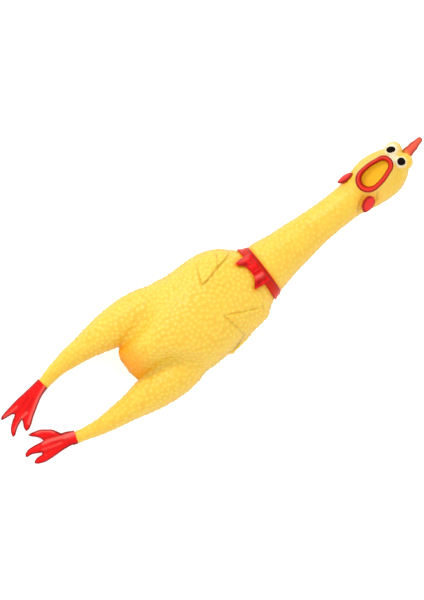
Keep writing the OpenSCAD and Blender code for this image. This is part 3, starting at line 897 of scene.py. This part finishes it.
def lobe_shade(points):
    x, y, _ = points.T
    low = 3.1 - lobe_rise(x, y)
    edge = 0.6 * ease((bow_line(x, y) + 0.8) / 0.8)
    return np.clip(0.2 * low + lines_at(BOW_SHADE, points) + edge, 0, 0.9)


def lobe_glow(points):
    # Painted highlight on the loops.
    return lines_at(BOW_HIGHLIGHT, points)


def knot_field(x, y, z):
    v = loft(SPINE, x, y, z)
    u = np.hypot(np.maximum(np.abs(x - KNOT[0]) - 1.7, 0), np.maximum(np.abs(y - KNOT[1]) - 0.6, 0)) - 1.3
    pinch = 0.3 * np.cos((y - KNOT[1]) * KNOT_FOLDS)
    return smooth_max(u, v - 3.2 - pinch, 1.4)


def knot_shade(points):
    return 0.4 - 0.4 * np.cos((points[:, 1] - KNOT[1]) * KNOT_FOLDS)


def dress(piece, body, node):
    """Makes a piece the look of one node."""
    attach(piece, body)
    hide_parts(node)


# Spacing of the points on small pieces.
FINE = 0.28
band = add_field("collar_band", collar_field, (177, -23, 0.5), (189, 19, 38), 0.4, BEAK_RED, shade=collar_shade)
dress(band, "torso", "collar")
lobes = add_field("bow_lobes", lobe_field, (171, -12, 28), (186, 13, 41), FINE, RED, rim=0.3,
                  shade=lobe_shade, glow=lobe_glow)
dress(lobes, "torso", "bow_loops")
knot = add_field("bow_middle", knot_field, (175, -4, 31), (186, 4, 42), FINE, RED, shade=knot_shade)
dress(knot, "torso", "bow_knot")


# ---------------------------------------------------------------- face
def beak_across(hx, hy):
    """How far across the beak a point is, from -1 at its inner edge to 1 at its outer one."""
    return egg(BEAK_LINE, hx, hy) / (1.5 + 0.5 * ease((-hx - 3) / 7) + 0.25 * ease((hx - 6) / 5))


def beak_field(x, y, z):
    hx, hy, hz = into_head(x, y, z)
    across = beak_across(hx, hy)
    v = (hz - MUZZLE_Z + 0.6 - 0.5 * (hx / 12) ** 2) / 1.9
    return (np.hypot(across, v) - 1) * 1.5


def lining_field(x, y, z):
    """The mouth's bowl, with the screamer's outlet through its wall."""
    hx, hy, hz = into_head(x, y, z)
    mouth = egg(MOUTH, hx, hy)
    floor = np.interp(hx, [-9, 10], [11.4, 12.8])
    bowl = smooth_max(mouth, floor - hz, 2.0)
    cup = np.maximum(smooth_max(mouth - 1.2, floor - 1.2 - hz, 2.0), hz - MUZZLE_Z + 0.4)
    # The sound comes out of the wall under the beak's lower edge.
    outlet = np.maximum(np.hypot(hy - 0.5, hz - 12.6) - 1.6, hx + 9.4)
    return np.maximum(np.maximum(cup, -bowl), -outlet)


def lining_shade(points):
    hx, hy, _ = into_head(*points.T)
    return 0.25 * ease((egg(MOUTH, hx, hy) + 0.7) / 0.8)


# Points along the comb's middle, with its radius at each.
COMB = [(16, -1.4, 0.4, 3.5), (23.5, -1.1, 1.0, 3.2), (28.5, -0.85, 1.3, 2.65), (34, -0.6, 1.6, 1.85)]


def comb_field(x, y, z):
    p = into_head(x, y, z)
    rods = [cone(*p, a[:3], b[:3], a[3], b[3]) for a, b in zip(COMB, COMB[1:])]
    d = rods[0]
    for rod in rods[1:]:
        d = smooth_min(d, rod, 1.0)
    return d


WATTLE_AT = (259.8, 1.3, 14.4)
WATTLE_OUT = 13.2
WATTLE_LIFT = math.radians(38)
WATTLE_SWEEP = math.radians(26)


def into_wattle(x, y, z, side):
    """A wattle's own frame: along it, across it and out of it."""
    x, y, z = turned_to_head(x - WATTLE_AT[0], y - WATTLE_AT[1], z - WATTLE_AT[2])
    y = side * y
    c, s = math.sin(WATTLE_LIFT), math.cos(WATTLE_LIFT)
    y, z = y * c - z * s, y * s + z * c - WATTLE_OUT
    c, s = math.cos(WATTLE_SWEEP), math.sin(WATTLE_SWEEP)
    return x * c - y * s, y * c + x * s, z


# Each wattle's half length and half width, and how far it has slid along and across its place.
WATTLES = {"right": (5.8, 3.3, -0.9, 1.1), "left": (6.4, 4.2, -0.6, 0.1)}


def wattle_field(name):
    long, wide, along, across = WATTLES[name]

    def field(x, y, z):
        u, v, w = into_wattle(x, y, z, SIDES[name])
        u, v = u - along, v - across
        taper = 1 - 0.3 * np.clip(u / long, -1, 1) ** 2
        low = np.where(w < 0, 2.2, 1.1)
        return ellipsoid(u, v / taper, w / low, (long, wide, 1.0))

    return field


def wattle_shade(name):
    """Painted shade along the wattle's edge."""
    long, wide, along, across = WATTLES[name]

    def value(points):
        u, v, _ = into_wattle(*points.T, SIDES[name])
        return 0.95 * ease((np.hypot((u - along) / long, (v - across) / wide) - 0.56) / 0.3)

    return value


EYE_RADII = (3.5, 3.4, 3.3)


def eye_field(side):
    """An eye, set into the front of its brow."""
    def field(x, y, z):
        hx, hy, hz = into_head(x, y, z)
        return ellipsoid(hx - BROW[0] + 0.7, hy - side * BROW[1], hz - BROW[2] - 2.3, EYE_RADII)

    return field


def pupil_field(name):
    """A thin black oval that bends round the eye."""
    px, py, long, wide, turn = PUPILS[name]
    c, s = math.cos(turn), math.sin(turn)

    def field(x, y, z):
        hx, hy, hz = into_head(x, y, z)
        u, v = hx - px, hy - py
        w = hz - BROW[2] - 5.3 + 0.07 * (u * u + v * v)
        return ellipsoid(u * c + v * s, v * c - u * s, w, (long, wide, 0.7))

    return field


def beak_shade(points):
    """Dark along both edges, and darker in the inner half than in the outer one."""
    hx, hy, _ = into_head(*points.T)
    across = beak_across(hx, hy)
    outer = ease((across - np.interp(hy, [-4, 4], [0.5, 0.1])) / 0.4)
    return np.maximum(0.4 * ease(-across / 0.5), 0.95 * np.maximum(outer, ease((-across - 0.35) / 0.45)))


def beak_glow(points):
    hx, hy, _ = into_head(*points.T)
    # Painted highlight along the beak's middle.
    return 0.15 * np.exp(-(((beak_across(hx, hy) - 0.25) / 0.3) ** 2))


def comb_shade(points):
    hx, _, _ = into_head(*points.T)
    return 0.9 * ease((25.5 - hx) / 4.5)


rim = add_field("beak_rim", beak_field, (258, -8, 24), (291, 16, 38), FINE, BEAK_RED, shade=beak_shade,
                glow=beak_glow)
dress(rim, "head", "beak")
bowl = add_field("mouth_bowl", lining_field, (259, -7, 8), (290, 15, 36), FINE, ORANGE, shade=lining_shade)
dress(bowl, "head", "mouth_lining")
spike = add_field("comb_spike", comb_field, (286, -5, 8), (314, 12, 24), FINE, CORAL, rim=0.6, shade=comb_shade)
dress(spike, "head", "comb")
for side_name, side_sign in SIDES.items():
    box = ((248, 2, 10), (270, 19, 32)) if side_sign > 0 else ((248, -16, 10), (270, 2, 32))
    drop = add_field("wattle_drop_" + side_name, wattle_field(side_name), *box, FINE, ROSE,
                     shade=wattle_shade(side_name))
    dress(drop, "head", "wattle_" + side_name)
    ground = add_field("eye_ground_" + side_name, eye_field(side_sign), (283, -10, 14), (300, 18, 34), FINE,
                       YELLOW, cream=cream_of)
    dress(ground, "head", "eye_" + side_name)
    pupil = add_field("pupil_dot_" + side_name, pupil_field(side_name), (283, -8, 18), (300, 18, 34), 0.2,
                      BLACK)
    dress(pupil, "head", "pupil_" + side_name)


# ---------------------------------------------------------------- the skin's pieces, the torso's and the head's each to its body
skins = build_skin()
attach(skins["torso_skin"], "torso")
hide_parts("torso", "wing_right", "wing_left")
bends(skins["belly_skin"])
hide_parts("belly_panel")
bends(skins["neck_base_skin"])
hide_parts("neck_base_flex", "neck_lower")
bends(skins["neck_middle_skin"])
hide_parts("neck_mid_flex", "neck_upper")
bends(skins["throat_skin"])
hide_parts("throat_flex")
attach(skins["head_skin"], "head")
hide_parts("head")
for side_name in SIDES:
    hip, knee, shin = (skins[f"{part}_skin_{side_name}"] for part in ("hip", "knee", "shin"))
    upper, lower, foot = f"leg_upper_{side_name}", f"leg_lower_{side_name}", f"foot_{side_name}"
    bends(hip)
    bends(knee)
    bends(shin)
    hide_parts(f"hip_flex_{side_name}", upper)
    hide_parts(f"knee_flex_{side_name}")
    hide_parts(lower, f"ankle_flex_{side_name}")


# ---------------------------------------------------------------- screamer, shown as the CAD has it
SCREAMER = {"screamer_housing": HOUSING, "reed_seat": SEAT, "reed_clamp": SEAT, "reed": REED}
for node_name, plastic in SCREAMER.items():
    node = frame["nodes"][node_name]
    node.data.materials.clear()
    node.data.materials.append(plastic)


# ---------------------------------------------------------------- floor, light and camera
FLOOR_REACH = 3.0
FLOOR_Z = -0.0002


def floor():
    mesh = bpy.data.meshes.new("floor")
    corners = [(-1, -1), (1, -1), (1, 1), (-1, 1)]
    mesh.from_pydata([(x * FLOOR_REACH, y * FLOOR_REACH, FLOOR_Z) for x, y in corners], [], [(0, 1, 2, 3)])
    white = shader("floor", rgb(205, 205, 205), 0.9, Emission_Color=(1, 1, 1, 1), Emission_Strength=0.7)
    mesh.materials.append(white)
    piece = bpy.data.objects.new("floor", mesh)
    bpy.context.scene.collection.objects.link(piece)


def lamp(name, at, size, power):
    """A round lamp that points at the toy's middle."""
    light = bpy.data.lights.new(name, "AREA")
    light.shape = "DISK"
    light.size = size
    light.energy = power
    piece = bpy.data.objects.new(name, light)
    piece.location = at
    piece.rotation_euler = (Vector((0, 0, 0.02)) - Vector(at)).to_track_quat("-Z", "Y").to_euler()
    bpy.context.scene.collection.objects.link(piece)


# The camera looks straight down: how it is turned, what it looks at, from how high, and how much it takes in
# from the picture's bottom to its top.
VIEW_TURN = math.radians(-36.14)
VIEW_MIDDLE = Vector((-0.00677, 0.00123, 0.018))
VIEW_HIGH = 12.0
VIEW_TALL = 0.367
SENSOR = 24


def camera():
    data = bpy.data.cameras.new("camera")
    data.sensor_fit = "VERTICAL"
    data.sensor_height = SENSOR
    data.lens = SENSOR * VIEW_HIGH / VIEW_TALL
    piece = bpy.data.objects.new("camera", data)
    piece.location = VIEW_MIDDLE + Vector((0, 0, VIEW_HIGH))
    piece.rotation_euler = (0, 0, VIEW_TURN)
    bpy.context.scene.collection.objects.link(piece)
    bpy.context.scene.camera = piece


def image_way(right, up):
    """A place on the table, from how far it is to the right and up in the picture."""
    way = Matrix.Rotation(VIEW_TURN, 3, "Z") @ Vector((right, up, 0))
    return way.x, way.y


def world(strength):
    made = bpy.data.worlds.new("studio")
    made.use_nodes = True
    back = made.node_tree.nodes["Background"]
    back.inputs["Color"].default_value = (1, 1, 1, 1)
    back.inputs["Strength"].default_value = strength
    bpy.context.scene.world = made


floor()
lamp("key", (*image_way(-0.6, 0.8), 1.0), 0.5, 7)
lamp("fill", (*image_way(0.9, -0.3), 1.2), 1.0, 1)
world(0.87)
bpy.context.scene.view_settings.view_transform = "Standard"
camera()
